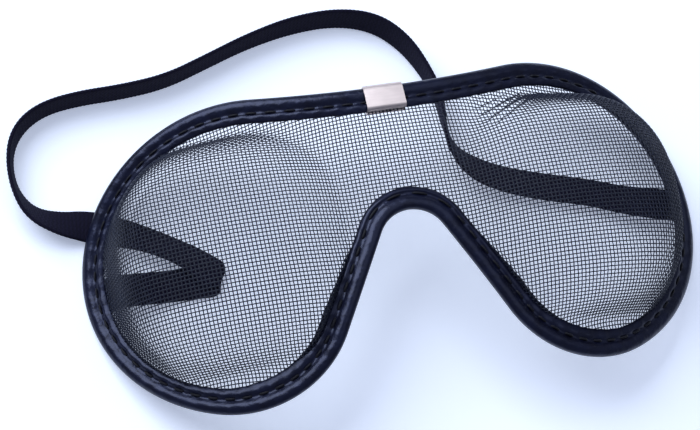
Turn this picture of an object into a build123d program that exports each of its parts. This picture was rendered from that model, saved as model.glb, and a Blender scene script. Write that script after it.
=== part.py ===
"""Mesh safety goggles: a domed wire-mesh screen in a sewn vinyl edge binding.

The goggles lie face up, as on a bench. X runs across the face, +Y to the brow,
+Z out of the face, and z = 0 is the surface that the temples rest on.
"""
from build123d import *
from math import asin, atan2, cos, degrees, hypot, radians, sin, sqrt
import os

# Outline of the rim, seen square on
half_width = 85.3
lobe_share = 0.5006
cheek_share = 0.6745
cheek_start = 20.0
arch_share = 0.2225
arch_height_share = 0.0726
brow_share = 0.911

# Curvature of the rim: round the face, and from brow to cheek
wrap_radius = 134.0
curl_radius = 250.0
foot_depth = 1.8

# Edge binding: a folded vinyl strip with a plump roll and a thin lip
binding_width = 6.2
temple_width = 4.8
roll_width = 3.7
roll_thickness = 3.2
lip_thickness = 2.0
roll_round = 1.4
lip_round = 0.45
slot_depth = 4.9
slot_clearance = 0.05
strip_gap = 0.4

# Mesh screen: woven wire, pressed into two domes
mesh_thickness = 0.6
dome_gap = 0.45
dome_offset = 4.3
dome_side_margin = 7.7
dome_end_margin = 9.1
dome_foot_tilt = 21.4
dome_drop_share = 0.2057
dome_rise_share = 0.3286
dome_out_share = 0.09
dome_up_share = 0.1845
dome_top_length_share = 0.6343
dome_top_height_share = 0.5357
dome_top_tilt = 7.0
crown_radius = 75.0
crown_height = 6.0
crown_offset = 4.6
shoulder_radius = 5.5

# Plain grid of openings in the screen, far coarser than the weave it stands for
opening_columns = 12
opening_bar = 2.4
opening_edge = 1.2
opening_least_share = 0.35

# Stitching: one lockstitch row in the groove between the roll and the lip
stitch_inset = 4.3
stitch_pitch = 4.75
stitch_length = 2.9
thread_radius = 0.3
thread_clearance = 0.02

# Metal clip, bent round the binding over its joint
clip_width = 10.8
clip_depth = 7.1
clip_metal = 0.45
clip_clearance = 0.12

# Headband: flat elastic, sewn under the lip of the binding at each temple
strap_width = 9.0
strap_thickness = 1.1
strap_gap = 0.12
strap_steps = 3
fold_steps = 4
tack_inset = 5.3
tack_stitches = 3
tack_pitch = 2.9
tack_length = 2.4

# Route of the headband, as x, y, the height of its lower edge above the bench,
# and how many degrees its width is turned from level about its travel. It is laid
# for goggles of this half width, and its plan grows with them
route_half_width = 85.3
left_leg = [
    (-80.9, -0.6, 1.11, 0),
    (-78.2, -0.6, 3.22, 0),
    (-74.4, -0.6, 4.30, 0),
    (-69.2, -0.5, 3.00, 0),
    (-63.7, -0.3, 0.90, 0),
    (-56.8, -0.2, 0.20, 0),
    (-48.6, -0.5, 0.20, 0),
]
main_run = [
    (-48.6, -0.5, 1.50, 180),
    (-52.5, 3.4, 0.90, 195),
    (-56.6, 7.2, 0.20, 210),
    (-65.7, 12.9, 0.20, 210),
    (-75.0, 17.4, 0.10, 188),
    (-81.0, 19.7, 0.05, 180),
    (-88.9, 20.9, 0.20, 212),
    (-96.0, 24.5, 0.20, 235),
    (-99.4, 31.3, 0.20, 255),
    (-99.9, 38.9, 0.20, 262),
    (-98.2, 45.5, 0.20, 262),
    (-94.0, 50.6, 0.20, 262),
    (-87.4, 53.9, 0.20, 265),
    (-77.9, 55.2, 0.20, 265),
    (-66.8, 55.4, 0.20, 265),
    (-54.1, 56.7, 0.20, 265),
    (-42.1, 60.8, 0.20, 265),
    (-30.0, 65.1, 0.20, 264),
    (-16.6, 68.3, 0.20, 260),
    (-3.5, 69.0, 0.20, 260),
    (7.4, 66.0, 0.20, 257),
    (14.7, 58.7, 0.20, 260),
    (19.2, 48.8, 0.20, 268),
    (21.1, 40.7, 0.20, 270),
    (20.8, 33.1, 0.20, 273),
    (21.9, 25.8, 0.20, 283),
    (26.6, 19.6, 0.20, 308),
    (35.0, 15.5, 0.20, 335),
    (46.1, 12.0, 0.20, 345),
    (57.8, 8.8, 0.20, 343),
    (65.2, 5.6, 1.10, 347),
    (70.4, 3.3, 3.30, 352),
    (74.6, 2.0, 4.30, 357),
    (78.2, 1.5, 3.22, 360),
    (80.9, 1.5, 1.11, 360),
]

overrun = 10.0

lobe_radius = half_width * lobe_share
cheek_radius = lobe_radius * cheek_share
arch_radius = lobe_radius * arch_share
arch_height = lobe_radius * arch_height_share
brow_height = lobe_radius * brow_share
lobe_x = half_width - lobe_radius
opening_pitch = (2 * (half_width - temple_width - opening_edge) + opening_bar) / opening_columns
opening_side = opening_pitch - opening_bar
dome_foot_length = 2 * (lobe_radius - dome_side_margin)
dome_foot_height = 2 * (lobe_radius - dome_end_margin)
dome_top_length = dome_foot_length * dome_top_length_share
dome_top_height = dome_foot_height * dome_top_height_share
axis_z = -foot_depth - sqrt((wrap_radius - roll_thickness / 2) ** 2 - half_width**2)
rim_top_z = axis_z + wrap_radius
temple_share = temple_width / binding_width


def rim_height(x, y, lift=0):
    """Height of the rim's middle surface over (x, y), lifted square to it."""
    curl = curl_radius + lift
    reach = wrap_radius - curl_radius + sqrt(curl**2 - y**2)
    return axis_z + sqrt(reach**2 - x**2)


def rim_outline(inset, lobe_inset, mode=Mode.ADD):
    """Both lobes, the brow and the nose arch as one loop of tangent arcs.

    The loop lies inset inside the outer edge at the brow, cheeks and nose,
    and lobe_inset inside it at the temples.
    """
    radius = lobe_radius - inset
    centre_x = half_width - lobe_inset - radius
    brow = brow_height - inset
    brow_radius = (centre_x**2 + brow**2 - radius**2) / (2 * (radius - brow))
    cheek = cheek_radius - inset
    cheek_angle = radians(cheek_start - 90)
    cheek_x = centre_x + (radius - cheek) * cos(cheek_angle)
    cheek_y = (radius - cheek) * sin(cheek_angle)
    arch = arch_radius + inset
    arch_y = arch_height - arch_radius
    lean = asin((cheek + arch) / hypot(cheek_x, arch_y - cheek_y))
    flank = radians(90) - lean - atan2(arch_y - cheek_y, cheek_x)

    def arc_point(centre, size, angle):
        return (centre[0] + size * cos(angle), centre[1] + size * sin(angle))

    lobe_c, cheek_c, arch_c = (centre_x, 0), (cheek_x, cheek_y), (0, arch_y)
    brow_angle = atan2(brow + brow_radius, -centre_x)
    brow_mid = (0, brow)
    brow_end = arc_point(lobe_c, radius, brow_angle)
    lobe_mid = arc_point(lobe_c, radius, 0)
    lobe_end = arc_point(lobe_c, radius, cheek_angle)
    cheek_end = arc_point(cheek_c, cheek, flank - radians(180))
    cheek_mid = arc_point(cheek_c, cheek, (cheek_angle + flank - radians(180)) / 2)
    flank_end = arc_point(arch_c, arch, flank)
    arch_mid = (0, arch_height + inset)

    def mirrored(point):
        return (-point[0], point[1])

    with BuildLine() as loop:
        ThreePointArc(mirrored(brow_end), brow_mid, brow_end)
        ThreePointArc(brow_end, lobe_mid, lobe_end)
        ThreePointArc(lobe_end, cheek_mid, cheek_end)
        Line(cheek_end, flank_end)
        ThreePointArc(flank_end, arch_mid, mirrored(flank_end))
        Line(mirrored(flank_end), mirrored(cheek_end))
        ThreePointArc(mirrored(cheek_end), mirrored(cheek_mid), mirrored(lobe_end))
        ThreePointArc(mirrored(lobe_end), mirrored(lobe_mid), mirrored(brow_end))
    make_face(loop.edges(), mode=mode)
    return loop.wire()


def rim_body(lift):
    """All that lies under the rim's middle surface, lifted square to it."""
    curl = curl_radius + lift
    top = wrap_radius + lift
    side = top - curl + sqrt(curl**2 - half_width**2)
    profile_plane = Plane((0, 0, axis_z), x_dir=(0, 1, 0), z_dir=(0, 0, 1))
    with BuildPart() as body:
        with BuildSketch(profile_plane):
            with BuildLine():
                ThreePointArc((-half_width, side), (0, top), (half_width, side))
                Polyline((half_width, side), (half_width, 0), (-half_width, 0), (-half_width, side))
            make_face()
        revolve(axis=Axis((0, 0, axis_z), (0, 1, 0)), revolution_arc=180)
    return body.part


def dome_body(side, inset):
    """One dome with all that lies under it, its skin inset all round.

    The wall runs from a tilted foot ellipse to a smaller one above, steep at
    the temple and brow and gentle at the nose and cheek. A large sphere trims
    it to the crown, and the shoulder between them is rounded.
    """
    def tilted(x, y, z, tilt):
        lean = radians(tilt)
        return Plane((side * x, y, z), x_dir=(cos(lean), 0, -side * sin(lean)),
                     z_dir=(side * sin(lean), 0, cos(lean)))

    foot_x = lobe_x + dome_offset
    foot_z = rim_top_z - dome_foot_length * dome_drop_share
    top_x = foot_x + dome_foot_length * dome_out_share
    top_y = dome_foot_height * dome_up_share
    top_z = foot_z + dome_foot_length * dome_rise_share
    crown_centre = (side * (lobe_x - crown_offset), 0, rim_top_z + crown_height - crown_radius)
    with BuildPart() as dome:
        with BuildSketch(tilted(foot_x, 0, foot_z, dome_foot_tilt)):
            Ellipse(dome_foot_length / 2 - inset, dome_foot_height / 2 - inset)
        with BuildSketch(tilted(top_x, top_y, top_z, dome_top_tilt)):
            Ellipse(dome_top_length / 2 - inset, dome_top_height / 2 - inset)
        loft()
        with Locations(Plane(crown_centre, x_dir=(0, 0, -1), z_dir=(0, 1, 0))):
            Sphere(crown_radius - inset, mode=Mode.INTERSECT)
        crown = dome.faces().filter_by(GeomType.SPHERE)
        fillet(crown.edges(), shoulder_radius - inset)
    return dome.part


def goggles_body(lift):
    """All that lies under the rim surface and both domes.

    Where a dome's foot would reach the binding, it drops to the rim just
    inside the lip.
    """
    with BuildPart() as body:
        add(dome_body(1, -lift))
        add(dome_body(-1, -lift))
        with BuildSketch():
            rim_outline(binding_width + dome_gap - lift, temple_width + dome_gap - lift)
        extrude(amount=rim_top_z + overrun, mode=Mode.INTERSECT)
        add(rim_body(lift))
    return body.part


def rim_band(outer, inner, thickness, rounding=0):
    """A curved band of the rim between two insets, of one thickness."""
    with BuildPart() as band:
        with BuildSketch(Plane.XY.offset(-overrun)):
            rim_outline(*outer)
            rim_outline(*inner, mode=Mode.SUBTRACT)
        extrude(amount=rim_top_z + 2 * overrun)
        add(rim_body(thickness / 2), mode=Mode.INTERSECT)
        add(rim_body(-thickness / 2), mode=Mode.SUBTRACT)
        if rounding:
            fillet(band.edges().filter_by(Axis.Z, reverse=True), rounding)
    return band.part


def spaced_places(path, pitch):
    """Places along a flat closed path, a whole number of them near the pitch."""
    count = round(path.length / pitch)
    return [(path @ (i / count), path % (i / count)) for i in range(count)]


def rim_frame(point, tangent, lift):
    """A plane on the lifted rim surface, its X along the path over the rim."""
    step = thread_radius

    def over(x, y):
        return Vector(x, y, rim_height(x, y, lift))

    here = over(point.X, point.Y)
    ahead = over(point.X + tangent.X * step, point.Y + tangent.Y * step)
    beside = over(point.X - tangent.Y * step, point.Y + tangent.X * step)
    along = ahead - here
    return Plane(here, x_dir=along, z_dir=along.cross(beside - here))


def smooth_route(points):
    """The route with strap_steps places to each span, on a curve through its points."""
    route = []
    ends = [points[0], *points, points[-1]]
    for before, start, end, after in zip(ends, ends[1:], ends[2:], ends[3:]):
        for step in range(strap_steps):
            t = step / strap_steps
            route.append([
                b + (c - a) * t / 2 + (2 * a - 5 * b + 4 * c - d) * t**2 / 2
                + (3 * b - a - 3 * c + d) * t**3 / 2
                for a, b, c, d in zip(before, start, end, after)
            ])
    return [*route, list(points[-1])]


def strap_centre(place):
    """The middle of the headband's section at a place of its route."""
    x, y, lower_edge, turn = place
    growth = half_width / route_half_width
    half_height = (abs(sin(radians(turn))) * strap_width
                   + abs(cos(radians(turn))) * strap_thickness) / 2
    return Vector(x * growth, y * growth, lower_edge + half_height)


def bend_radii(centres):
    """Radius in plan of the circle through each three places in a row."""
    radii = []
    for before, centre, after in zip(centres, centres[1:], centres[2:]):
        arriving, leaving, chord = centre - before, after - centre, after - before
        turned = abs(arriving.X * leaving.Y - arriving.Y * leaving.X)
        if turned:
            radii.append(arriving.length * leaving.length * chord.length / (2 * turned))
    return radii


def strap_planes(points):
    """Planes square to the headband, their X across its width."""
    route = smooth_route(points)
    centres = [strap_centre(place) for place in route]
    ends = [centres[0], *centres, centres[-1]]
    planes = []
    for centre, before, after, place in zip(centres, ends, ends[2:], route):
        travel = (after - before).normalized()
        level = Vector(0, 0, 1).cross(travel).normalized()
        turn = radians(place[3])
        across = level * cos(turn) + travel.cross(level) * sin(turn)
        planes.append(Plane(centre, x_dir=across, z_dir=travel))
    return planes


def tack_places(side):
    """Places of the stitches in a row across one end of the headband."""
    middle = left_leg[0][1] if side < 0 else main_run[-1][1]
    return [
        Vector(side * (half_width - tack_inset),
               middle + (stitch - (tack_stitches - 1) / 2) * tack_pitch)
        for stitch in range(tack_stitches)
    ]


os.makedirs("parts", exist_ok=True)

# Wire-mesh screen: one sheet, its cut edge held inside the binding
with BuildPart() as mesh_screen:
    add(goggles_body(mesh_thickness / 2))
    add(goggles_body(-mesh_thickness / 2), mode=Mode.SUBTRACT)
    with BuildSketch(mode=Mode.PRIVATE) as screen_outline:
        rim_outline(binding_width - slot_depth, binding_width - slot_depth)
    extrude(screen_outline.sketch, amount=rim_top_z + overrun, mode=Mode.INTERSECT)
    with BuildSketch(mode=Mode.PRIVATE) as opening_grid:
        with GridLocations(opening_pitch, opening_pitch, opening_columns, opening_columns):
            Rectangle(opening_side, opening_side)
        rim_outline(binding_width + opening_edge, temple_width + opening_edge,
                    mode=Mode.INTERSECT)
    openings = [
        face for face in opening_grid.faces()
        if face.area > opening_least_share * opening_side**2
    ]
    extrude(openings, amount=rim_top_z + overrun, mode=Mode.SUBTRACT)
mesh_screen.part.label = "mesh_screen"
export_step(mesh_screen.part, "parts/mesh_screen.step")

# Edge binding: roll, lip and the slot that holds the screen. Its ends meet at the brow
groove = (roll_width, roll_width * temple_share)
lip_outer = (groove[0] - roll_round, groove[1] - roll_round)
slot_inset = binding_width - slot_depth - slot_clearance
with BuildPart() as edge_binding:
    add(rim_band((0, 0), groove, roll_thickness, roll_round))
    add(rim_band(lip_outer, (binding_width, temple_width), lip_thickness, lip_round))
    add(
        rim_band((slot_inset, slot_inset),
                 (binding_width + lip_thickness, temple_width + lip_thickness),
                 mesh_thickness + 2 * slot_clearance),
        mode=Mode.SUBTRACT,
    )
    with Locations((0, brow_height, rim_top_z)):
        Box(strip_gap, 2 * overrun, 2 * overrun, mode=Mode.SUBTRACT)
    split(bisect_by=Plane.XY, keep=Keep.TOP)
edge_binding.part.label = "edge_binding"
export_step(edge_binding.part, "parts/edge_binding.step")

# Lockstitch row: the needle thread lies on the lip, the bobbin thread under it
with BuildSketch() as stitch_line:
    stitch_path = rim_outline(stitch_inset, stitch_inset * temple_share)
stitch_lift = lip_thickness / 2 + thread_clearance + thread_radius
with BuildPart() as front_stitches:
    with Locations([rim_frame(place, tangent, stitch_lift)
                    for place, tangent in spaced_places(stitch_path, stitch_pitch)]):
        Cylinder(thread_radius, stitch_length, rotation=(0, 90, 0))
front_stitches.part.label = "front_stitches"
export_step(front_stitches.part, "parts/front_stitches.step")

with BuildPart() as back_stitches:
    with Locations([rim_frame(place, tangent, -stitch_lift)
                    for place, tangent in spaced_places(stitch_path, stitch_pitch)]):
        Cylinder(thread_radius, stitch_length, rotation=(0, 90, 0))
back_stitches.part.label = "back_stitches"
export_step(back_stitches.part, "parts/back_stitches.step")

# Joint clip: a sleeve round the binding, its toes closed on the mesh, bent to the wrap
clip_half_turn = clip_width / wrap_radius / 2
clip_lean = asin((brow_height - clip_depth / 2) / curl_radius)
clip_radial = Vector(-sin(clip_half_turn), 0, cos(clip_half_turn))
clip_outward = Vector(0, cos(clip_lean), 0) - clip_radial * sin(clip_lean)
clip_reach = wrap_radius - curl_radius * (1 - cos(clip_lean))
clip_seat = Vector(0, curl_radius * sin(clip_lean), axis_z) + clip_radial * clip_reach
clip_plane = Plane(clip_seat, x_dir=clip_outward, z_dir=clip_outward.cross(clip_radial))
clip_back = clip_depth / 2 / cos(clip_lean) + clip_clearance
clip_toe = clip_back - clip_clearance - clip_depth + clip_metal
clip_inside = roll_thickness / 2 + clip_clearance
clip_mouth = mesh_thickness / 2 + clip_clearance
with BuildPart() as joint_clip:
    with BuildSketch(clip_plane):
        with BuildLine():
            FilletPolyline(
                (clip_toe, clip_mouth), (clip_toe, clip_inside), (clip_back, clip_inside),
                (clip_back, -clip_inside), (clip_toe, -clip_inside), (clip_toe, -clip_mouth),
                radius=[clip_metal, roll_round, roll_round, clip_metal],
            )
            offset(amount=clip_metal, side=Side.LEFT)
        make_face()
    revolve(axis=Axis((0, 0, axis_z), (0, 1, 0)), revolution_arc=degrees(2 * clip_half_turn))
joint_clip.part.label = "joint_clip"
export_step(joint_clip.part, "parts/joint_clip.step")

# Headband: one flat band, folded flat behind the left eye and turned over once
leg_planes = strap_planes(left_leg)
run_planes = strap_planes(main_run)
arriving = leg_planes[-1].z_dir
leaving = run_planes[0].z_dir
heading = Vector(arriving.X - leaving.X, arriving.Y - leaving.Y).normalized()
crease = Vector(0, 0, 1).cross(heading)
fold_bottom = strap_centre(left_leg[-1])
fold_height = strap_centre(main_run[0]).Z - fold_bottom.Z
fold_centre = fold_bottom + Vector(0, 0, fold_height / 2)
fold_planes = []
for step in range(fold_steps + 1):
    angle = radians(180) * step / fold_steps
    spoke = heading * sin(angle) - Vector(0, 0, 1) * cos(angle)
    fold_planes.append(Plane(fold_centre + spoke * fold_height / 2, x_dir=crease,
                             z_dir=crease.cross(spoke)))
with BuildPart() as headband_strap:
    for plane in leg_planes[:-1] + fold_planes + run_planes[1:]:
        with BuildSketch(plane):
            Rectangle(strap_width, strap_thickness)
    loft(ruled=True)
headband_strap.part.label = "headband_strap"
leg_centres = [plane.origin for plane in leg_planes]
run_centres = [plane.origin for plane in run_planes]
strap_length = sum(
    (after - before).length
    for centres in (leg_centres, run_centres)
    for before, after in zip(centres, centres[1:])
)
print("headband length", strap_length)
print("tightest bend radius", min(bend_radii(leg_centres) + bend_radii(run_centres)))
print("fold radius", fold_height / 2)
export_step(headband_strap.part, "parts/headband_strap.step")

# Thread that sews each end of the headband to the lip
tack_lift = lip_thickness / 2 + strap_gap + strap_thickness + thread_clearance + thread_radius
for side, name in ((-1, "left_strap_stitches"), (1, "right_strap_stitches")):
    with BuildPart() as strap_stitches:
        with Locations([rim_frame(place, Vector(0, 1), -tack_lift)
                        for place in tack_places(side)]):
            Cylinder(thread_radius, tack_length, rotation=(0, 90, 0))
    strap_stitches.part.label = name
    export_step(strap_stitches.part, f"parts/{name}.step")
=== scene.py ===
"""Mesh safety goggles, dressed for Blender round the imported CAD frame.

The goggles lie face up on a pale bench: +X runs across the face to the wearer's
left, +Y to the brow and +Z out of the face. Left and right in comments and names
are as the camera sees them. Sizes are in millimetres, and are turned to metres
where a mesh is made.
"""
import math

import bpy
import numpy as np
from mathutils import Euler, Matrix, Vector


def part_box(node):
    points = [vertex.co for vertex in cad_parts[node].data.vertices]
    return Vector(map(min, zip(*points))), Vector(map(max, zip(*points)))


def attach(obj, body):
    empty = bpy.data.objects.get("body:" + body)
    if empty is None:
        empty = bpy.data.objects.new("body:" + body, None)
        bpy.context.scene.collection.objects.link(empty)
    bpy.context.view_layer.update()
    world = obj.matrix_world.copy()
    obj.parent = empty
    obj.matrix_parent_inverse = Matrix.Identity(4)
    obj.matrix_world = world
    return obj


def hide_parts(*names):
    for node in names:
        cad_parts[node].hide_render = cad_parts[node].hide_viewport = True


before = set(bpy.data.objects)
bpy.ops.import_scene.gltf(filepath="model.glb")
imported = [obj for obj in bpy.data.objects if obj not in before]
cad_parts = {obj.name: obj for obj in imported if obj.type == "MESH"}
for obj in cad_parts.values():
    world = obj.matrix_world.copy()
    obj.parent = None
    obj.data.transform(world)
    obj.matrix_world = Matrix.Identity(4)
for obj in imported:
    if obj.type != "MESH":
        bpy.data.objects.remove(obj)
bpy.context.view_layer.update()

# Camera
# A long lens from above, a little to the left and a little below the nose, so that
# the left temple comes nearer and the brow runs up to the right. Its place is in
# metres, and its turns about X, Y and Z are in degrees.
camera_place = Vector((-0.15164, -0.18282, 0.68798))
camera_turns = Euler([math.radians(turn) for turn in (17.499, -8.408, -11.129)], "XYZ")
focal_length = 136.03
film_width = 36
nearest_seen = 0.01
lens = bpy.data.cameras.new("camera")
lens.lens = focal_length
lens.sensor_width = film_width
lens.clip_start = nearest_seen
camera = bpy.data.objects.new("camera", lens)
camera.matrix_world = Matrix.Translation(camera_place) @ camera_turns.to_matrix().to_4x4()
bpy.context.scene.collection.objects.link(camera)
bpy.context.scene.camera = camera

# Headband
# One flat elastic band, ribbed across, with a bound edge down each side. It is
# sewn under the left temple, folded flat behind the left eye, loops out round
# the brow, stands on its edge there and comes back under the right temple.
band_width = 9.0
band_thickness = 1.1
band_lowest = 0.06
row_step = 0.275
fold_reach = 3.2
steepest_flat = 0.45

# Each row is x, y, z and the band's turn about its length in degrees. The leg lies
# under the left eye, and the run goes from the fold at its end to the right temple.
band_leg = [
    (-80.9, -0.6, 1.66, 0), (-78.2, -0.6, 3.77, 0), (-74.4, -0.6, 4.85, 0),
    (-69.2, -0.5, 3.55, 0), (-63.7, -0.3, 1.45, 0), (-56.8, -0.2, 0.75, 0),
    (-48.6, -0.5, 0.75, 0),
]
band_run = [
    (-48.6, -0.5, 2.05, 0), (-52.5, 3.4, 2.60, 15), (-56.6, 7.2, 2.93, 30),
    (-65.7, 12.9, 2.93, 30), (-75.0, 17.4, 1.27, 8), (-81.0, 19.7, 0.60, 0),
    (-88.9, 20.9, 3.05, 32), (-96.0, 24.5, 4.20, 55), (-99.4, 31.3, 4.69, 75),
    (-99.9, 38.9, 4.73, 82), (-98.2, 45.5, 4.73, 82), (-94.0, 50.6, 4.73, 82),
    (-87.4, 53.9, 4.73, 85), (-77.9, 55.2, 4.73, 85), (-66.8, 55.4, 4.73, 85),
    (-54.1, 56.7, 4.73, 85), (-42.1, 60.8, 4.73, 85), (-30.0, 65.1, 4.73, 84),
    (-16.6, 68.3, 4.73, 80), (-3.5, 69.0, 4.73, 80), (7.4, 66.0, 4.71, 77),
    (14.7, 58.7, 4.73, 80), (19.2, 48.8, 4.72, 88), (21.1, 40.7, 4.70, 90),
    (20.8, 33.1, 4.72, 98), (21.9, 25.8, 4.71, 120), (26.6, 19.6, 4.08, 150),
    (35.0, 15.5, 2.60, 160), (46.1, 12.0, 1.90, 165), (57.8, 8.8, 2.04, 163),
    (65.2, 5.6, 2.65, 167), (70.4, 3.3, 4.47, 172), (74.6, 2.0, 5.08, 177),
    (78.2, 1.5, 3.77, 180), (80.9, 1.5, 1.66, 180),
]


def spline_points(name, controls):
    """Points of the smooth quadratic curve that the control points pull along."""
    curve = bpy.data.curves.new(name, "CURVE")
    curve.dimensions = "3D"
    curve.resolution_u = 16
    spline = curve.splines.new("NURBS")
    spline.points.add(len(controls) - 1)
    flat = np.column_stack([np.array(controls) * 0.001, np.ones(len(controls))])
    spline.points.foreach_set("co", flat.ravel())
    spline.order_u = 3
    spline.use_endpoint_u = True
    holder = bpy.data.objects.new(name, curve)
    mesh = bpy.data.meshes.new_from_object(holder)
    points = np.empty(len(mesh.vertices) * 3)
    mesh.vertices.foreach_get("co", points)
    bpy.data.objects.remove(holder)
    bpy.data.curves.remove(curve)
    bpy.data.meshes.remove(mesh)
    return points.reshape(-1, 3) * 1000


def unit(vectors):
    """Each vector over its own length."""
    return vectors / np.maximum(np.linalg.norm(vectors, axis=-1, keepdims=True), 1e-9)


def ring_faces(rows, sides):
    """Quads between each ring of points and the next, rows of them, sides round."""
    row = np.arange(rows - 1)[:, None]
    side = np.arange(sides)[None, :]
    ahead = row + 1
    beside = (side + 1) % sides
    return np.stack([row * sides + side, row * sides + beside,
                     ahead * sides + beside, ahead * sides + side], axis=-1).reshape(-1, 4)


def cap_faces(first, sides, forward):
    """Quads that close a ring of an even number of points, as rungs from one half of the ring
    to the other. The ring is given by its first point's number."""
    rung = np.arange(0, sides // 2 - 1)
    caps = np.stack([rung, rung + 1, sides - 2 - rung, sides - 1 - rung], axis=-1)
    caps = np.asarray(first)[..., None, None] + caps
    return (caps if forward else caps[..., ::-1]).reshape(-1, 4)


def make_piece(name, points, faces, uv=None):
    """A smooth mesh piece from points in millimetres, quads, and each point's place on the
    cloth in millimetres."""
    mesh = bpy.data.meshes.new(name)
    mesh.vertices.add(len(points))
    mesh.vertices.foreach_set("co", (np.asarray(points) * 0.001).astype(np.float32).ravel())
    mesh.loops.add(faces.size)
    mesh.loops.foreach_set("vertex_index", faces.astype(np.int32).ravel())
    mesh.polygons.add(len(faces))
    mesh.polygons.foreach_set("loop_start", np.arange(0, faces.size, 4, dtype=np.int32))
    mesh.polygons.foreach_set("use_smooth", np.ones(len(faces), bool))
    mesh.update(calc_edges=True)
    if uv is not None:
        layer = mesh.uv_layers.new(name="cloth")
        layer.data.foreach_set("uv", (uv[faces.ravel()] * 0.001).astype(np.float32).ravel())
    piece = bpy.data.objects.new(name, mesh)
    bpy.context.scene.collection.objects.link(piece)
    return piece


def paint(code):
    """A colour written as sRGB hex, as the linear colour that a shader takes."""
    parts = [int(code[place:place + 2], 16) / 255 for place in (1, 3, 5)]
    return [part / 12.92 if part <= 0.04045 else ((part + 0.055) / 1.055) ** 2.4
            for part in parts] + [1.0]


def add_node(material, kind, links=None, **settings):
    """A node with its properties set, and its sockets set to values or joined to outputs."""
    made = material.node_tree.nodes.new(kind)
    for setting, value in settings.items():
        setattr(made, setting, value)
    for socket, value in (links or {}).items():
        if isinstance(value, bpy.types.NodeSocket):
            material.node_tree.links.new(value, made.inputs[socket])
        else:
            made.inputs[socket].default_value = value
    return made


def new_finish(name, **sockets):
    """A material with its Principled shader's sockets set, and that shader."""
    material = bpy.data.materials.new(name)
    material.use_nodes = True
    shader = material.node_tree.nodes["Principled BSDF"]
    for socket, value in sockets.items():
        shader.inputs[socket.replace("_", " ")].default_value = value
    return material, shader


route = spline_points("headband_route", [(x, y, z) for x, y, z, turn in band_leg + band_run])
turns = spline_points("headband_turns", [(turn, 0, 0) for x, y, z, turn in band_leg + band_run])
steps = np.linalg.norm(np.diff(route, axis=0), axis=1)
travelled = np.concatenate([[0], np.cumsum(steps)])
band_length = travelled[-1]
rows = int(band_length / row_step)
along = np.linspace(0, band_length, rows)
centre = np.column_stack([np.interp(along, travelled, route[:, axis]) for axis in range(3)])
turn = np.radians(np.interp(along, travelled, turns[:, 0]))

# The width runs level across the route, turned about it. Where the route is too
# steep to say what is level, at the fold, the width is carried over from both sides.
travel = unit(np.gradient(centre, axis=0))
fold_row = np.argmax(np.abs(travel[:, 2]))
level = unit(np.cross([0, 0, 1], travel))
across = level * np.cos(turn)[:, None] + np.cross(travel, level) * np.sin(turn)[:, None]
across = across * np.where(np.arange(rows) < fold_row, 1, -1)[:, None]
flat_rows = np.abs(travel[:, 2]) < steepest_flat
across = np.column_stack([np.interp(along, along[flat_rows], across[flat_rows, axis])
                          for axis in range(3)])
across = unit(across - travel * np.sum(across * travel, axis=1, keepdims=True))
square = np.cross(travel, across)

# The section is a flat loop that thins to its edges, with a bead beside each. Weft
# ribs 1.1 mm apart stand up on both faces, and each is broken by the yarns that bind
# it, 0.9 mm apart. At the fold the band is a little narrower.
columns = 32
edge_thinning = 0.18
bead_height, bead_at, bead_spread = 0.05, 0.9, 0.07
last_depth = 0.12
plain_edge = 0.12
rib_pitch, rib_height, rib_stagger = 1.1, 0.10, 1.1
yarn_pitch, yarn_depth, yarn_sharpness = 0.9, 0.07, 0.7
spot = np.linspace(-1, 1, columns)
half_depth = (0.5 - edge_thinning * np.abs(spot) ** 8
              + bead_height * np.exp(-((np.abs(spot) - bead_at) / bead_spread) ** 2))
half_depth = half_depth * band_thickness
half_depth[[0, -1]] = last_depth * band_thickness
places = np.concatenate([spot, spot[::-1]]) * band_width / 2
from_fold = np.abs(along - along[fold_row])
corner = np.clip(1 - from_fold / fold_reach, 0, 1)
narrow = (1 - fold_reach / (band_width / 2) * (1 - np.sqrt(1 - corner ** 2)))[:, None]
faces_out = np.concatenate([np.ones(columns), -np.ones(columns)])
depth = np.concatenate([half_depth, half_depth[::-1]])
inner = np.clip((1 - np.abs(places) / (band_width / 2)) / plain_edge, 0, 1)
yarn_phase = 2 * np.pi * places / (2 * yarn_pitch)
rib = np.cos(2 * np.pi * along[:, None] / rib_pitch
             + rib_stagger * np.sign(np.sin(yarn_phase))[None, :])
knot = np.abs(np.sin(yarn_phase))[None, :] ** yarn_sharpness
relief = (rib_height * rib * knot - yarn_depth * (1 - knot)) * inner[None, :]
lift = faces_out[None, :] * (depth[None, :] + relief)
band_points = (centre[:, None] + across[:, None] * (places[None, :] * narrow)[..., None]
               + square[:, None] * lift[..., None])
band_points[..., 2] = np.maximum(band_points[..., 2], band_lowest)
band_sides = 2 * columns
band_uv = np.stack(np.broadcast_arrays(places[None, :] + band_width / 2, along[:, None]),
                   axis=-1)
band_faces = np.concatenate([
    ring_faces(rows, band_sides),
    cap_faces(0, band_sides, True),
    cap_faces((rows - 1) * band_sides, band_sides, False),
])
headband = make_piece("headband", band_points.reshape(-1, 3), band_faces[:, ::-1],
                      uv=band_uv.reshape(-1, 2))

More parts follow.
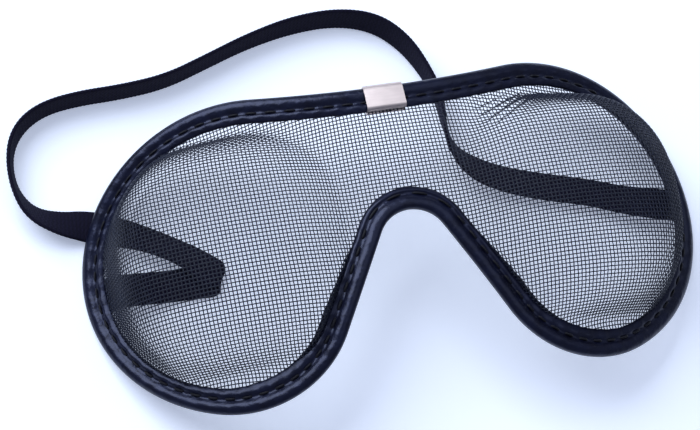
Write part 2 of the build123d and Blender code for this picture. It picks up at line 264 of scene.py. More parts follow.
# Knitted elastic of dyed polyester over rubber: dull, with a soft sheen at the
# edges of each rib, so that it reads as cloth and almost black.
fibre_size = 0.385
elastic, elastic_shader = new_finish(
    "knitted_polyester_elastic", Roughness=0.85, Sheen_Weight=0.12, Sheen_Roughness=0.4,
    Sheen_Tint=paint("#6d70a8"), Specular_IOR_Level=0.15)
cloth = add_node(elastic, "ShaderNodeUVMap", uv_map="cloth")
split = add_node(elastic, "ShaderNodeSeparateXYZ", {0: cloth.outputs[0]})
fibre = add_node(elastic, "ShaderNodeTexNoise", {"Vector": cloth.outputs[0],
                                                 "Scale": 1000 / fibre_size, "Detail": 3.0})
# Painted light and shade: the colour follows the ribs, lighter on their crests and darker in the
# hollows between them.
rib_wave = add_node(elastic, "ShaderNodeMath", {0: split.outputs[1],
                                                1: 2 * math.pi / (rib_pitch * 0.001)},
                    operation="MULTIPLY")
rib_shade_wave = add_node(elastic, "ShaderNodeMath", {0: rib_wave.outputs[0]}, operation="COSINE")
rib_crest_light = add_node(elastic, "ShaderNodeMapRange", {"Value": rib_shade_wave.outputs[0],
                                                     "From Min": -1.0, "From Max": 1.0})
rib_light_and_shade_colour = add_node(elastic, "ShaderNodeMix", {0: rib_crest_light.outputs[0], 6: paint("#080611"),
                                                 7: paint("#131023")}, data_type="RGBA")
fibre_colour = add_node(elastic, "ShaderNodeMix", {0: fibre.outputs["Fac"],
                                                   6: rib_light_and_shade_colour.outputs[2],
                                                   7: paint("#131125")}, data_type="RGBA")
elastic.node_tree.links.new(fibre_colour.outputs[2], elastic_shader.inputs["Base Color"])
fibre_bump = add_node(elastic, "ShaderNodeBump", {"Height": fibre.outputs["Fac"],
                                                  "Strength": 0.35, "Distance": 0.0001})
elastic.node_tree.links.new(fibre_bump.outputs[0], elastic_shader.inputs["Normal"])
headband.data.materials.append(elastic)
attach(headband, "root")
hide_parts("headband_strap")

# Mesh screen
# Steel wire with a dark enamel, woven one over and one under, and pressed between
# dies into two deep domes. The weave slides and shears as it is drawn over them, so
# that its holes close on the walls, and it is left in pleats beside the right one.
half_width = 85.3
lobe_radius = 42.7
cheek_radius = 28.8
cheek_start = -70
arch_radius = 9.5
arch_height = 3.1
brow_height = 38.9
binding_width = 6.2
wrap_radius = 134.0
curl_radius = 250.0
axis_z = -103.06
rim_top_z = axis_z + wrap_radius
lobe_x = half_width - lobe_radius
warp_pitch = 1.0
weft_pitch = 1.05
wire_radius = 0.155
wire_crimp = 0.15
wire_end_inset = 3.6


def rim_surface(x, y):
    """Height of the rim above its axis, and how fast it falls along x and along y: an arc of the
    wrap radius across, and an arc of the curl radius from brow to cheek."""
    reach = wrap_radius - curl_radius + np.sqrt(curl_radius ** 2 - y ** 2)
    above = np.sqrt(reach ** 2 - x ** 2)
    return above, x / above, y / np.sqrt(curl_radius ** 2 - y ** 2) * reach / above


def rim_height(x, y):
    """Height of the rim, carried on along its tangents a little beyond the outline."""
    far_x, far_y = 90, 50
    near_x = np.clip(x, -far_x, far_x)
    near_y = np.clip(y, -far_y, far_y)
    above, fall_x, fall_y = rim_surface(near_x, near_y)
    return axis_z + above - fall_x * (x - near_x) - fall_y * (y - near_y)


def outline_arcs():
    """Sizes, end angles and middles of the right half's arcs, from the brow down to the nose. The
    brow's arc touches the lobe's, the cheek's touches the lobe's from inside, and the flank is
    the direction square to the line that touches both the cheek's arc and the arch's."""
    brow_arc = ((lobe_x ** 2 + brow_height ** 2 - lobe_radius ** 2)
                / (2 * (lobe_radius - brow_height)))
    brow_angle = math.atan2(brow_height + brow_arc, -lobe_x)
    cheek_angle = math.radians(cheek_start)
    cheek_x = lobe_x + (lobe_radius - cheek_radius) * math.cos(cheek_angle)
    cheek_y = (lobe_radius - cheek_radius) * math.sin(cheek_angle)
    arch_y = arch_height - arch_radius
    lean = math.asin((cheek_radius + arch_radius) / math.hypot(cheek_x, arch_y - cheek_y))
    flank = math.radians(90) - lean - math.atan2(arch_y - cheek_y, cheek_x)
    return brow_arc, brow_angle, cheek_angle, (cheek_x, cheek_y), (0.0, arch_y), flank


def rim_inset(x, y):
    """How far a place lies inside the outline, from the arc that bounds it there: the brow's or
    the lobe's above, the lobe's or the cheek's below, and the flank or the arch at the nose."""
    x = np.abs(x)
    brow_arc, brow_angle, cheek_angle, cheek, arch, flank = outline_arcs()
    from_brow = np.hypot(x, y - brow_height - brow_arc) - brow_arc
    from_lobe = lobe_radius - np.hypot(x - lobe_x, y)
    from_cheek = cheek_radius - np.hypot(x - cheek[0], y - cheek[1])
    square_x, square_y = math.cos(flank), math.sin(flank)
    from_flank = (x - arch[0]) * square_x + (y - arch[1]) * square_y - arch_radius
    from_arch = np.hypot(x - arch[0], y - arch[1]) - arch_radius
    on_arch = (x - arch[0]) * square_y < (y - arch[1]) * square_x
    cheek_turn = np.arctan2(y - cheek[1], x - cheek[0])
    on_cheek = (cheek_turn < cheek_angle) & (cheek_turn > flank - math.pi) & (y < cheek[1])
    on_brow = (x < lobe_x / 2) | (np.arctan2(y, x - lobe_x) > brow_angle)
    nose = np.where(on_arch, from_arch, from_flank)
    upper = np.where(on_brow, from_brow, from_lobe)
    lower = np.where(on_cheek, from_cheek, from_lobe)
    return np.minimum(np.where(y > 0, upper, lower), nose)


def rounded_lower(one, other, one_lean, other_lean, radius):
    """The lower of two heights, with their meeting rounded to a radius: where the radius less the
    distance to each, squared, adds up to the radius squared. A lean is the cosine of a surface's
    slope, which turns height under it to distance from it."""
    quad = one_lean ** 2 + other_lean ** 2
    one_room = radius - one * one_lean
    other_room = radius - other * other_lean
    half = one_room * one_lean + other_room * other_lean
    rest = one_room ** 2 + other_room ** 2 - radius ** 2
    root = (-half + np.sqrt(np.maximum(half ** 2 - quad * rest, 0))) / quad
    rounds = (one_room + one_lean * root > 0) & (other_room + other_lean * root > 0)
    return np.where(rounds, root, np.minimum(one, other))


def leans(height, step):
    """Cosine of the slope of a height field."""
    across_slope, up_slope = np.gradient(height, step)
    return 1 / np.sqrt(1 + across_slope ** 2 + up_slope ** 2)


# Each dome's wall goes from a foot to a shoulder, which are leaning ellipses. Their
# middles lie beside the lobe's, and above or below the top of the rim.
foot_form = {"out": 4.3, "rise": -14.4, "half_x": 35, "half_y": 33.6, "lean": 21.4}
shoulder_form = {"out": 10.6, "rise": 8.6, "half_x": 22.2, "half_y": 24.0, "lean": 7.0}
left_foot_up, left_shoulder_up = 0.4, 1.2
right_foot_up, right_shoulder_up = 0.0, 3.0
shoulder_power, foot_fullness = 2.2, 0.7


def leaning_ellipse(up, out, rise, half_x, half_y, lean):
    """An ellipse's middle, its half sizes seen from above, and how far its outer end sinks. The
    cosine of its lean shortens it, and the sine sinks it."""
    lean = math.radians(lean)
    return np.array([lobe_x + out, up, rim_top_z + rise, half_x * math.cos(lean), half_y,
                     half_x * math.sin(lean)])[:, None, None]


def dome_wall(x, y, foot_up, shoulder_up):
    """Height on the wall between the foot and the shoulder, and a little beyond them. Halving
    finds the share of the way up at which the ellipse seen from above passes through (x, y).
    Its corners are filled by the power in |x|^p + |y|^p = 1, and the foot's are fuller."""
    foot = leaning_ellipse(foot_up, **foot_form)
    shoulder = leaning_ellipse(shoulder_up, **shoulder_form)
    lowest_share, highest_share, halvings = -0.6, 1.9, 26
    low = np.full(x.shape, lowest_share)
    high = np.full(x.shape, highest_share)
    for halving in range(halvings):
        share = (low + high) / 2
        mid_x, mid_y, mid_z, half_x, half_y, sink = foot + share * (shoulder - foot)
        power = shoulder_power + foot_fullness * np.clip(1 - share, 0, 1)
        part_x, part_y = np.abs((x - mid_x) / half_x), np.abs((y - mid_y) / half_y)
        outside = part_x ** power + part_y ** power > 1
        high = np.where(outside, share, high)
        low = np.where(outside, low, share)
    return mid_z - sink * (x - mid_x) / half_x


field_step = 0.2
field_far_x, field_far_y = 120, 75
field_x = np.arange(-field_far_x, field_far_x, field_step)
field_y = np.arange(-field_far_y, field_far_y, field_step)
grid_x, grid_y = np.meshgrid(field_x, field_y, indexing="ij")
from_nose = np.abs(grid_x)
on_left = np.count_nonzero(field_x < 0)
wall = np.concatenate([
    dome_wall(from_nose[:on_left], grid_y[:on_left], left_foot_up, left_shoulder_up),
    dome_wall(from_nose[on_left:], grid_y[on_left:], right_foot_up, right_shoulder_up),
])

# A flat ball crowns each dome, and a rounded shoulder joins it to the wall. Under the
# binding's lip the dome fades out, so that the sheet lies on the rim's own surface
# there and on the bridge.
crown_radius, crown_in, crown_rise = 75.0, 4.6, 6.0
shoulder_rounding, foot_rounding = 5.5, 1.6
temple_narrowing = 1.4
fade_lead, fade_width, fade_depth = 0.4, 1.4, 2
crown_x = lobe_x - crown_in
crown_z = rim_top_z + crown_rise - crown_radius
crown = crown_z + np.sqrt(np.maximum(
    crown_radius ** 2 - (from_nose - crown_x) ** 2 - grid_y ** 2, 1.0))
dome = rounded_lower(wall, crown, leans(wall, field_step), leans(crown, field_step),
                     shoulder_rounding)
rim = rim_height(grid_x, grid_y)
lip_edge = binding_width - temple_narrowing * np.clip((from_nose - lobe_x) / lobe_radius, 0, 1)
inside = np.clip((rim_inset(grid_x, grid_y) - lip_edge + fade_lead) / fade_width, 0, 1)
dome = (rim - fade_depth
        + np.maximum(dome - rim + fade_depth, 0) * inside ** 2 * (3 - 2 * inside))
field = -rounded_lower(-dome, -rim, leans(dome, field_step), leans(rim, field_step),
                       foot_rounding)

# The pleats are waves across a line that runs from beside the right dome's top toward
# the nose. They fan out along it, and fade at both ends and both sides.
pleat_x, pleat_y = 44, 34
pleat_left, pleat_down = 0.87, 0.49
pleat_height, pleat_pitch = 1.0, 2.0
pleat_closeness, pleat_fanning = 1.25, 0.022
pleats_across, pleats_half_width = 2.0, 4.2
pleats_along, pleats_half_length = 12, 7.0
along_pleat = (pleat_x - grid_x) * pleat_left + (pleat_y - grid_y) * pleat_down
across_pleat = (pleat_x - grid_x) * pleat_down - (pleat_y - grid_y) * pleat_left
fanned = across_pleat * (pleat_closeness - pleat_fanning * along_pleat)
field += (pleat_height * np.cos(2 * np.pi * fanned / pleat_pitch)
          * np.exp(-((fanned - pleats_across) / pleats_half_width) ** 4)
          * np.exp(-((along_pleat - pleats_along) / pleats_half_length) ** 4))
smoothings = 6
for smoothing in range(smoothings):
    field[1:-1, 1:-1] = (field[:-2, 1:-1] + field[2:, 1:-1] + field[1:-1, :-2]
                         + field[1:-1, 2:] + 2 * field[1:-1, 1:-1]) / 6
slope_x, slope_y = np.gradient(field, field_step)


def read_field(values, x, y):
    """A value of the screen's field between its grid places, by the four round it."""
    place_x = np.clip((x + field_far_x) / field_step, 0, len(field_x) - 1.001)
    place_y = np.clip((y + field_far_y) / field_step, 0, len(field_y) - 1.001)
    left, below = place_x.astype(int), place_y.astype(int)
    part_x, part_y = place_x - left, place_y - below
    return ((values[left, below] * (1 - part_x) + values[left + 1, below] * part_x) * (1 - part_y)
            + (values[left, below + 1] * (1 - part_x)
               + values[left + 1, below + 1] * part_x) * part_y)


def onto_screen(points, times=1):
    """Points moved square to the screen until they lie on it, by longest_step at most each
    time."""
    longest_step = 3
    for time in range(times):
        x, y, z = points[..., 0], points[..., 1], points[..., 2]
        over = z - read_field(field, x, y)
        lean_x = read_field(slope_x, x, y)
        lean_y = read_field(slope_y, x, y)
        share = np.clip(over, -longest_step, longest_step) / (1 + lean_x ** 2 + lean_y ** 2)
        points = points - np.stack([-lean_x * share, -lean_y * share, share], axis=-1)
    return points


def settled_net(net, times_pitch, rounds):
    """A net of springs as long as the wires' pitches, drawn over the screen. Each round moves
    every crossing by part of what its four wires ask, and smooths it a little, with the bridge
    held."""
    bridge_half, bridge_low, bridge_high = 5, 8, 34
    spring_share, smooth_share, longest_move = 0.5, 0.04, 0.3
    held = ((np.abs(net[..., 0]) < bridge_half)
            & (net[..., 1] > bridge_low) & (net[..., 1] < bridge_high))
    home = net.copy()
    for settling in range(rounds):
        pull = np.zeros_like(net)
        for axis, pitch in ((0, warp_pitch), (1, weft_pitch)):
            span = np.diff(net, axis=axis)
            size = np.linalg.norm(span, axis=-1, keepdims=True)
            ask = span * (0.5 * (size - pitch * times_pitch) / size)
            if axis:
                pull[:, :-1] += ask
                pull[:, 1:] -= ask
            else:
                pull[:-1] += ask
                pull[1:] -= ask
        smooth = np.zeros_like(net)
        smooth[1:-1, 1:-1] = (net[:-2, 1:-1] + net[2:, 1:-1] + net[1:-1, :-2]
                              + net[1:-1, 2:]) / 4 - net[1:-1, 1:-1]
        move = spring_share * pull + smooth_share * smooth
        size = np.maximum(np.linalg.norm(move, axis=-1, keepdims=True), 1e-9)
        net = onto_screen(net + move * np.minimum(1, longest_move * times_pitch / size))
        net[held] = home[held]
    return net


def finer_net(net):
    """The net with one more crossing between each two."""
    wide = np.empty((2 * net.shape[0] - 1, net.shape[1], 3))
    wide[::2] = net
    wide[1::2] = (net[:-1] + net[1:]) / 2
    fine = np.empty((wide.shape[0], 2 * wide.shape[1] - 1, 3))
    fine[:, ::2] = wide
    fine[:, 1::2] = (wide[:, :-1] + wide[:, 1:]) / 2
    return fine


# The net settles first with one crossing in eight each way, and then finer and finer,
# until it has a crossing wherever two wires cross.
coarsest, coarsest_rounds = 8, 1500
finer_rounds = ((4, 900), (2, 500), (1, 250))
half_cells_x, half_cells_y = 15, 8
net_x = np.arange(-half_cells_x, half_cells_x + 1) * coarsest * warp_pitch
net_y = np.arange(-half_cells_y, half_cells_y + 1) * coarsest * weft_pitch
start_x, start_y = np.meshgrid(net_x, net_y, indexing="ij")
net = np.stack([start_x, start_y, read_field(field, start_x, start_y)], axis=-1)
net = settled_net(net, coarsest, coarsest_rounds)
for times_pitch, rounds in finer_rounds:
    net = settled_net(onto_screen(finer_net(net), 3), times_pitch, rounds)
net = onto_screen(net, 4)
lean_x = read_field(slope_x, net[..., 0], net[..., 1])
lean_y = read_field(slope_y, net[..., 0], net[..., 1])
net_square = unit(np.stack([-lean_x, -lean_y, np.ones(lean_x.shape)], axis=-1))
crossing = (-1.0) ** np.add.outer(np.arange(net.shape[0]), np.arange(net.shape[1]))
held_in = rim_inset(net[..., 0], net[..., 1]) > wire_end_inset


def round_lines(middle, upward, radius):
    """Six-sided rings round the places of some lines: the cosine of each side's angle times the
    sideways direction, and the sine times the upward one, at a radius."""
    forward = unit(np.gradient(middle, axis=1))
    sideways = unit(np.cross(forward, upward))
    upward = np.cross(sideways, forward)
    angles = np.arange(6) * np.pi / 3
    return (middle[:, :, None]
            + radius * (sideways[:, :, None] * np.cos(angles)[:, None]
                        + upward[:, :, None] * np.sin(angles)[:, None]))


def woven_wires(name, paths, squares, over, kept):
    """Round wires along the rows of the net. A wire's middle is lifted square to the screen by
    the crimp where it goes over, and lowered where it goes under, and each stretch of a wire
    that is kept is closed at both ends."""
    count, length = over.shape
    middle = np.empty((count, 2 * length - 1, 3))
    middle[:, ::2] = paths + squares * (over * wire_crimp)[..., None]
    middle[:, 1::2] = (paths[:, :-1] + paths[:, 1:]) / 2
    upward = np.empty_like(middle)
    upward[:, ::2] = squares
    upward[:, 1::2] = unit(squares[:, :-1] + squares[:, 1:])
    points = round_lines(middle, upward, wire_radius)
    shown = np.repeat(kept[:, :-1] & kept[:, 1:], 2, axis=1)
    faces = ring_faces(count * middle.shape[1], 6).reshape(-1, 6, 4)
    row_of = np.arange(len(faces))
    along_wire = row_of % middle.shape[1]
    wire = row_of // middle.shape[1]
    last = along_wire == middle.shape[1] - 1
    keep = ~last & shown[wire, np.minimum(along_wire, middle.shape[1] - 2)]
    before = np.concatenate([[False], keep[:-1]])
    after = np.concatenate([keep[1:], [False]])
    starts = np.flatnonzero(keep & ~before) * 6
    ends = (np.flatnonzero(keep & ~after) + 1) * 6
    faces = np.concatenate([faces[keep].reshape(-1, 4), cap_faces(starts, 6, False),
                            cap_faces(ends, 6, True)])
    used, numbers = np.unique(faces, return_inverse=True)
    return make_piece(name, points.reshape(-1, 3)[used], numbers.reshape(-1, 4))


# Steel wire with a baked dark blue-black enamel: smooth, so that each wire takes
# a fine grey glint along it, and the close weave on the walls turns slate grey.
mottle_size = 7.14
enamel, enamel_shader = new_finish(
    "enamelled_steel_wire", Roughness=0.42, Specular_IOR_Level=0.3)
enamel_place = add_node(enamel, "ShaderNodeTexCoord")
mottle = add_node(enamel, "ShaderNodeTexNoise", {"Vector": enamel_place.outputs["Object"],
                                                 "Scale": 1000 / mottle_size, "Detail": 2.0})
wire_colour = add_node(enamel, "ShaderNodeMix", {0: mottle.outputs["Fac"], 6: paint("#141827"),
                                                 7: paint("#1f2538")}, data_type="RGBA")
enamel.node_tree.links.new(wire_colour.outputs[2], enamel_shader.inputs["Base Color"])

middle_wire = net.shape[0] // 2
middle_row = net.shape[1] // 2
turned_net, turned_square = net.transpose(1, 0, 2), net_square.transpose(1, 0, 2)
wire_sets = [
    ("warp_wires_left", net[:middle_wire], net_square[:middle_wire], crossing[:middle_wire],
     held_in[:middle_wire]),
    ("warp_wires_right", net[middle_wire:], net_square[middle_wire:], crossing[middle_wire:],
     held_in[middle_wire:]),
    ("weft_wires_lower", turned_net[:middle_row], turned_square[:middle_row],
     -crossing.T[:middle_row], held_in.T[:middle_row]),
    ("weft_wires_upper", turned_net[middle_row:], turned_square[middle_row:],
     -crossing.T[middle_row:], held_in.T[middle_row:]),
]
for name, paths, squares, over, kept in wire_sets:
    wires = woven_wires(name, paths, squares, over, kept)
    wires.data.materials.append(enamel)
    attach(wires, "root")
    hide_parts("mesh_screen")

# Edge binding
# A strip of soft vinyl leathercloth, folded round a cord and over the cut edge of
# the screen, and sewn through. The cord makes the plump roll at the outside, the
# seam pulls a puckered groove beside it, and a thin lip lies on the mesh.
temple_share = 0.774
stitch_count = 97
rows_per_stitch = 14
groove_at = 4.3


def rim_path(count):
    """Places in plan spaced evenly round the outline from the brow's middle, clockwise as seen
    from above, the direction outwards at each, and how much of the width the binding has there:
    all of it, but temple_share of it where it faces sideways. The straight flank runs from the
    cheek's last place to the arch's first, and needs none of its own."""
    arc_places = 600
    brow_arc, brow_angle, cheek_angle, cheek, arch, flank = outline_arcs()
    brow_sweep = math.atan2(-math.cos(brow_angle), math.sin(brow_angle))
    arcs = [
        ((0, brow_height + brow_arc), brow_arc, -math.pi / 2, -math.pi / 2 + brow_sweep, -1),
        ((lobe_x, 0), lobe_radius, brow_angle, cheek_angle, 1),
        (cheek, cheek_radius, cheek_angle, flank - math.pi, 1),
        (arch, arch_radius, flank, math.pi / 2, -1),
    ]
    places, outwards = [], []
    for middle, size, start, end, sign in arcs:
        angles = np.linspace(start, end, arc_places)
        spoke = np.column_stack([np.cos(angles), np.sin(angles)])
        places.append(np.array(middle) + size * spoke)
        outwards.append(sign * spoke)
    half = np.concatenate(places)
    half_out = np.concatenate(outwards)
    whole = np.concatenate([half, (half * [-1, 1])[::-1]])
    whole_out = np.concatenate([half_out, (half_out * [-1, 1])[::-1]])
    gaps = np.linalg.norm(np.diff(whole, axis=0), axis=1)
    length = np.concatenate([[0], np.cumsum(gaps)])
    at = np.linspace(0, length[-1], count)
    plan = np.column_stack([np.interp(at, length, whole[:, axis]) for axis in (0, 1)])
    out = unit(np.column_stack([np.interp(at, length, whole_out[:, axis]) for axis in (0, 1)]))
    share = 1 - (1 - temple_share) * np.clip(out[:, 0] * np.sign(plan[:, 0]), 0, 1)
    return plan, out, share, length[-1]


def over_rim(plan, out, share, inset, lift):
    """Points an inset inside the outline and a lift square to the rim's surface, but never under
    the bench."""
    flat = plan - out * (inset * share)[..., None]
    x, y = flat[..., 0], flat[..., 1]
    above, fall_x, fall_y = rim_surface(x, y)
    square = unit(np.stack([fall_x, fall_y, np.ones(x.shape)], axis=-1))
    points = np.stack([x, y, axis_z + above], axis=-1) + square * lift[..., None]
    points[..., 2] = np.maximum(points[..., 2], 0)
    return points


# The front half of the section, as inset and lift: from the outer edge over the roll,
# down into the groove and over the lip. The back half is its mirror image.
profile = np.array([
    (0.00, 0.00), (0.05, 0.55), (0.35, 1.05), (0.90, 1.42), (1.60, 1.60), (2.35, 1.55),
    (3.00, 1.30), (3.50, 0.98), (3.90, 0.74), (4.30, 0.66), (4.65, 0.76), (4.95, 0.95),
    (5.30, 0.98), (5.70, 0.78), (6.10, 0.48), (6.28, 0.22),
])
bottom = profile[::-1] * [1, -1]
profile = np.concatenate([profile, bottom[:-1]])


def smoothed(points, times):
    """A closed run of points with more between them. Between two points the curve is a cubic,
    with the slope at each of them that its two neighbours give."""
    at = np.linspace(0, len(points), len(points) * times, endpoint=False)
    start = at.astype(int)
    part = (at - start)[:, None]
    a, b, c, d = (points[(start + shift) % len(points)] for shift in (-1, 0, 1, 2))
    return b + (c - a) * part / 2 + (2 * a - 5 * b + 4 * c - d) * part ** 2 / 2 + (
        3 * b - a - 3 * c + d) * part ** 3 / 2


profile = smoothed(profile, 2)

# Each stitch pulls the groove down at its needle holes, where pulled is 1, and lets
# the roll and the lip puff up between them, a little unevenly, as three slow waves
# tell it. A wave has its size, how much longer it is than a stitch, and its start.
groove_swell, groove_spread, groove_mean = 0.24, 0.62, 0.45
swell_mean = 0.5
pull_sharpness = 0.8
wander_waves = ((0.10, 3.3, 0.0), (0.08, 7.1, 1.0), (0.05, 1.37, 2.0))
lip_swell, lip_at, lip_spread = 0.13, 5.15, 0.5
roll_swell, roll_at, roll_spread = 0.12, 2.9, 0.7
edge_swell, edge_at, edge_spread = 0.10, 6.2, 0.5
binding_rows = stitch_count * rows_per_stitch
plan, out, share, rim_length = rim_path(binding_rows)
stitch_turn = 2 * np.pi * np.linspace(0, stitch_count, binding_rows)[:, None]
pulled = (0.5 + 0.5 * np.cos(stitch_turn)) ** pull_sharpness
wander = sum(size * np.sin(stitch_turn / times_longer + start)
             for size, times_longer, start in wander_waves)
inset = np.broadcast_to(profile[:, 0], (binding_rows, len(profile))).copy()
lift = np.broadcast_to(profile[:, 1], (binding_rows, len(profile))).copy()
in_groove = np.exp(-((inset - groove_at) / groove_spread) ** 2)
on_lip = np.exp(-((inset - lip_at) / lip_spread) ** 2)
on_roll = np.exp(-((inset - roll_at) / roll_spread) ** 2)
lift += np.sign(lift) * (groove_swell * in_groove * (groove_mean - pulled)
                         + lip_swell * on_lip * (swell_mean - pulled + wander)
                         + roll_swell * on_roll * (swell_mean - pulled + wander))
on_edge = np.exp(-((inset - edge_at) / edge_spread) ** 2)
inset += edge_swell * on_edge * (swell_mean - pulled)

# The lip reaches further over the mesh than the plain section does: a little along the
# brow and the temples, more on the flanks beside the nose, and not at all on the arch.
lip_more, flank_more = 0.6, 0.9
lip_root, lip_width = 4.8, 1.4
arch_half, arch_fade = 11, 9
brow_from = arch_height + 10
nose_sideways, nose_down = 0.75, 0.65
to_nose = np.clip(-nose_sideways * out[:, :1] * np.sign(plan[:, :1]) - nose_down * out[:, 1:],
                  0, 1)
off_arch = np.clip((np.abs(plan[:, :1]) - arch_half) / arch_fade, 0, 1)
lip_reach = np.where(plan[:, 1:] > brow_from, lip_more,
                     (lip_more + flank_more * to_nose) * off_arch)
inset += lip_reach * np.clip((inset - lip_root) / lip_width, 0, 1)
binding_points = over_rim(plan[:, None], out[:, None], share[:, None], inset, lift)
binding_sides = len(profile)
binding_faces = np.concatenate([
    ring_faces(binding_rows, binding_sides),
    cap_faces(0, binding_sides, True),
    cap_faces((binding_rows - 1) * binding_sides, binding_sides, False),
])
round_section = np.cumsum(np.linalg.norm(np.diff(profile, axis=0, prepend=profile[:1]), axis=1))
binding_uv = np.stack(np.broadcast_arrays(
    np.linspace(0, rim_length, binding_rows)[:, None], round_section[None, :]), axis=-1)
binding = make_piece("vinyl_binding", binding_points.reshape(-1, 3), binding_faces[:, ::-1],
                     uv=binding_uv.reshape(-1, 2))

# Vinyl leathercloth: knitted cloth coated with soft PVC and embossed with a fine
# grain, which breaks its gloss into a soft sheen. The cloth's creases and a slight
# unevenness of tone are drawn coarser than life, so that they show.
tone_size = 3.85
grain_size = 0.667
crease_size = 2.08
vinyl, vinyl_shader = new_finish(
    "vinyl_leathercloth", Roughness=0.35, Specular_IOR_Level=0.36,
    Specular_Tint=paint("#c3ccff"), Coat_Weight=0.14, Coat_Roughness=0.18)
vinyl_place = add_node(vinyl, "ShaderNodeTexCoord")
tone = add_node(vinyl, "ShaderNodeTexNoise", {"Vector": vinyl_place.outputs["Object"],
                                              "Scale": 1000 / tone_size, "Detail": 4.0})
tone_range = add_node(vinyl, "ShaderNodeMapRange", {"Value": tone.outputs["Fac"],
                                                    "From Min": 0.35, "From Max": 0.7})
vinyl_colour = add_node(vinyl, "ShaderNodeMix", {0: tone_range.outputs[0], 6: paint("#060612"),
                                                 7: paint("#0e1124")}, data_type="RGBA")
vinyl.node_tree.links.new(vinyl_colour.outputs[2], vinyl_shader.inputs["Base Color"])
grain = add_node(vinyl, "ShaderNodeTexVoronoi", {"Vector": vinyl_place.outputs["Object"],
                                                 "Scale": 1000 / grain_size}, feature="F1")
crease = add_node(vinyl, "ShaderNodeTexNoise", {"Vector": vinyl_place.outputs["Object"],
                                                "Scale": 1000 / crease_size, "Detail": 2.0})
grain_bump = add_node(vinyl, "ShaderNodeBump", {"Height": grain.outputs["Distance"],
                                                "Strength": 0.25, "Distance": 0.00008})
crease_bump = add_node(vinyl, "ShaderNodeBump", {"Height": crease.outputs["Fac"],
                                                 "Normal": grain_bump.outputs[0],
                                                 "Strength": 0.4, "Distance": 0.0006})
vinyl.node_tree.links.new(crease_bump.outputs[0], vinyl_shader.inputs["Normal"])
binding.data.materials.append(vinyl)
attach(binding, "root")
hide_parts("edge_binding")

# Stitches
# One lockstitch row of thick bonded nylon thread round the groove. Each stitch
# lies on the vinyl for 3.1 mm and dives into its needle hole at both ends.
thread_radius = 0.33
thread_lift = 0.86
thread_sink = 0.55
thread_lowest = 0.01
stitch_length = 3.1
stitch_rings = 7


def dash_faces(count, rings):
    """Faces of some separate six-sided threads, each closed at both ends."""
    starts = np.arange(count) * rings * 6
    faces = (starts[:, None, None] + ring_faces(rings, 6)).reshape(-1, 4)
    return np.concatenate([faces, cap_faces(starts, 6, False),
                           cap_faces(starts + (rings - 1) * 6, 6, True)])


def thread_dashes(name, plan, out, share, side):
    """Threads along the groove, with a row of plan places for each and one place per ring. The
    middle of each thread stands at the lift, and it sinks by the fourth power of the share of
    the way to its end."""
    count, rings = share.shape
    way = np.linspace(-1, 1, rings)
    height = np.broadcast_to(side * (thread_lift - thread_sink * way ** 4), share.shape)
    middle = over_rim(plan, out, share, groove_at, height)
    upward = unit(over_rim(plan, out, share, groove_at, height + side * 0.5) - middle)
    points = round_lines(middle, upward, thread_radius)
    points[..., 2] = np.maximum(points[..., 2], thread_lowest)
    return make_piece(name, points.reshape(-1, 3), dash_faces(count, rings))


steps_per_stitch = 40
step_count = stitch_count * steps_per_stitch
dash_plan, dash_out, dash_share, rim_length = rim_path(step_count + 1)
dash_half = int(round(stitch_length / (rim_length / stitch_count) * steps_per_stitch / 2))
ring_steps = np.linspace(-dash_half, dash_half, stitch_rings).round().astype(int)
stitch_starts = np.arange(stitch_count) * steps_per_stitch
ring_places = (stitch_starts[:, None] + ring_steps[None, :]) % step_count

# Bonded nylon thread: black, with a slight waxy gloss, and mottled by the twist of
# its three plies.
ply_size = 0.556
nylon, nylon_shader = new_finish("bonded_nylon_thread", Roughness=0.6, Sheen_Weight=0.05,
                                 Specular_IOR_Level=0.25)
nylon_place = add_node(nylon, "ShaderNodeTexCoord")
ply = add_node(nylon, "ShaderNodeTexNoise", {"Vector": nylon_place.outputs["Object"],
                                             "Scale": 1000 / ply_size, "Detail": 2.0})
ply_colour = add_node(nylon, "ShaderNodeMix", {0: ply.outputs["Fac"], 6: paint("#07070e"),
                                               7: paint("#10101c")}, data_type="RGBA")
nylon.node_tree.links.new(ply_colour.outputs[2], nylon_shader.inputs["Base Color"])
ply_bump = add_node(nylon, "ShaderNodeBump", {"Height": ply.outputs["Fac"], "Strength": 0.4,
                                              "Distance": 0.0001})
nylon.node_tree.links.new(ply_bump.outputs[0], nylon_shader.inputs["Normal"])
for name, side, node_name in (("needle_thread", 1, "front_stitches"),
                              ("bobbin_thread", -1, "back_stitches")):
    threads = thread_dashes(name, dash_plan[ring_places], dash_out[ring_places],
                            dash_share[ring_places], side)
    threads.data.materials.append(nylon)
    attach(threads, "root")
    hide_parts(node_name)

# Stitches that hold the headband's ends
# Three short stitches of the same thread across each end of the elastic, under the
# temple's binding. They lie in one line, and their ends turn up into the vinyl.
tack_count = 3
tack_pitch = 2.9
tack_half = 1.2
tack_radius = 0.3
tack_inset = 5.3
tack_rise = 0.12
tack_rings = 7
tack_turns = np.arange(6) * np.pi / 3
tack_ring = tack_radius * np.stack([np.cos(tack_turns), 0 * tack_turns, np.sin(tack_turns)],
                                   axis=-1)
for name, side in (("left_strap_stitches", -1), ("right_strap_stitches", 1)):
    low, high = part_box(name)
    low, high = np.array(low) * 1000, np.array(high) * 1000
    middle_y = low[1] + tack_half + np.arange(tack_count) * tack_pitch
    way = np.linspace(-tack_half, tack_half, tack_rings)
    y = middle_y[:, None] + way[None, :]
    x = np.full(y.shape, side * (half_width - tack_inset))
    z = np.full(y.shape, (low[2] + high[2]) / 2) + tack_rise * (np.abs(way) / tack_half) ** 3
    points = np.stack([x, y, z], axis=-1)[:, :, None] + tack_ring
    tacks = make_piece(name.replace("strap_stitches", "tack_thread"), points.reshape(-1, 3),
                       dash_faces(tack_count, tack_rings))
    tacks.data.materials.append(nylon)
    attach(tacks, "root")
    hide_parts(name)

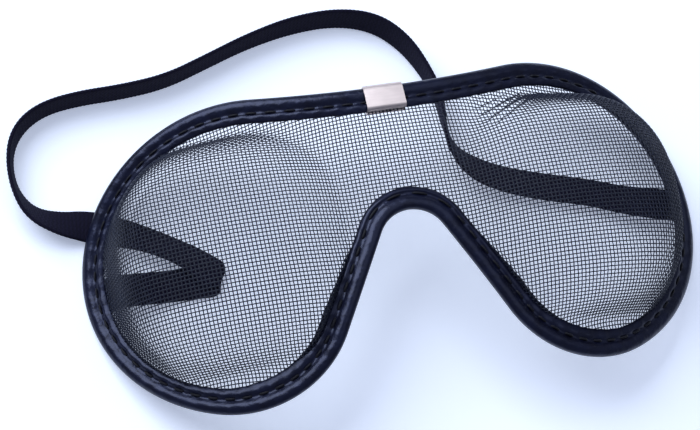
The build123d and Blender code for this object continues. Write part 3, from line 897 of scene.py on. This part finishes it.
# Joint clip
# A sleeve of thin nickel-plated steel, bent round the binding where its two ends
# meet at the brow, and pinched on to the mesh. Its shape is the CAD node's own.
# Fine scratches along it and shallow dents dull the plate to satin.
scratch_length, scratch_width = 3.85, 0.556
dent_size = 3.125
nickel, nickel_shader = new_finish("nickel_plated_steel", Metallic=1.0, Roughness=0.45)
nickel_place = add_node(nickel, "ShaderNodeTexCoord")
polish = add_node(nickel, "ShaderNodeMapping", {
    "Vector": nickel_place.outputs["Object"],
    "Scale": (1000 / scratch_length, 1000 / scratch_width, 1000 / scratch_width)})
scratch = add_node(nickel, "ShaderNodeTexNoise", {"Vector": polish.outputs[0], "Scale": 1.0,
                                                  "Detail": 3.0})
nickel_colour = add_node(nickel, "ShaderNodeMix", {0: scratch.outputs["Fac"],
                                                   6: paint("#ddcbc3"), 7: paint("#efdfd8")},
                         data_type="RGBA")
nickel.node_tree.links.new(nickel_colour.outputs[2], nickel_shader.inputs["Base Color"])
nickel_rough = add_node(nickel, "ShaderNodeMapRange", {"Value": scratch.outputs["Fac"],
                                                       "To Min": 0.38, "To Max": 0.55})
nickel.node_tree.links.new(nickel_rough.outputs[0], nickel_shader.inputs["Roughness"])
dent = add_node(nickel, "ShaderNodeTexNoise", {"Vector": nickel_place.outputs["Object"],
                                               "Scale": 1000 / dent_size, "Detail": 1.0})
nickel_bump = add_node(nickel, "ShaderNodeBump", {"Height": dent.outputs["Fac"],
                                                  "Strength": 0.15, "Distance": 0.0004})
nickel.node_tree.links.new(nickel_bump.outputs[0], nickel_shader.inputs["Normal"])
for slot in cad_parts["joint_clip"].material_slots:
    slot.material = nickel

# Bench and light
# A plain white bench under a soft cool sky, with a broad lamp over the brow and a weak
# one over the right lobe that fills its shadows. Sizes and places here are in metres,
# and each lamp has its name, place, size and power in watts.
bench_half = 3
glow_strength = 0.4
sky_strength = 0.32
lamp_colour = (0.8, 0.88, 1.0)
lamps = (("brow_lamp", (-0.42, 0.6, 0.75), 0.8, 12.0),
         ("fill_lamp", (0.4, 0.2, 0.95), 0.9, 1.8))
bench_mesh = bpy.data.meshes.new("bench")
bench_mesh.from_pydata([(-bench_half, -bench_half, 0), (bench_half, -bench_half, 0),
                        (bench_half, bench_half, 0), (-bench_half, bench_half, 0)],
                       [], [(0, 1, 2, 3)])
bench = bpy.data.objects.new("bench", bench_mesh)
bpy.context.scene.collection.objects.link(bench)

# White laminate, matt. It glows a little to the camera and in reflections, so that it
# looks as white as paper there and still keeps the shadows, but it lights nothing.
white, white_shader = new_finish(
    "white_laminate", Roughness=0.9, Specular_IOR_Level=0.1, Base_Color=paint("#f3f6fc"),
    Emission_Color=paint("#dbe6ff"))
ray = add_node(white, "ShaderNodeLightPath")
seen = add_node(white, "ShaderNodeMath", {0: ray.outputs["Is Camera Ray"],
                                          1: ray.outputs["Is Glossy Ray"]}, operation="MAXIMUM")
seen_more = add_node(white, "ShaderNodeMath", {0: seen.outputs[0],
                                               1: ray.outputs["Is Transmission Ray"]},
                     operation="MAXIMUM")
glow = add_node(white, "ShaderNodeMath", {0: seen_more.outputs[0], 1: glow_strength},
                operation="MULTIPLY")
white.node_tree.links.new(glow.outputs[0], white_shader.inputs["Emission Strength"])
bench_mesh.materials.append(white)

sky = bpy.data.worlds.new("sky")
bpy.context.scene.world = sky
sky.use_nodes = True
sky.node_tree.nodes["Background"].inputs["Color"].default_value = paint("#d3dfff")
sky.node_tree.nodes["Background"].inputs["Strength"].default_value = sky_strength
for name, position, size, power in lamps:
    lamp = bpy.data.lights.new(name, "AREA")
    lamp.size = size
    lamp.energy = power
    lamp.color = lamp_colour
    holder = bpy.data.objects.new(name, lamp)
    holder.location = position
    holder.rotation_euler = (-Vector(position)).to_track_quat("-Z", "Y").to_euler()
    bpy.context.scene.collection.objects.link(holder)
bpy.context.scene.view_settings.view_transform = "Standard"
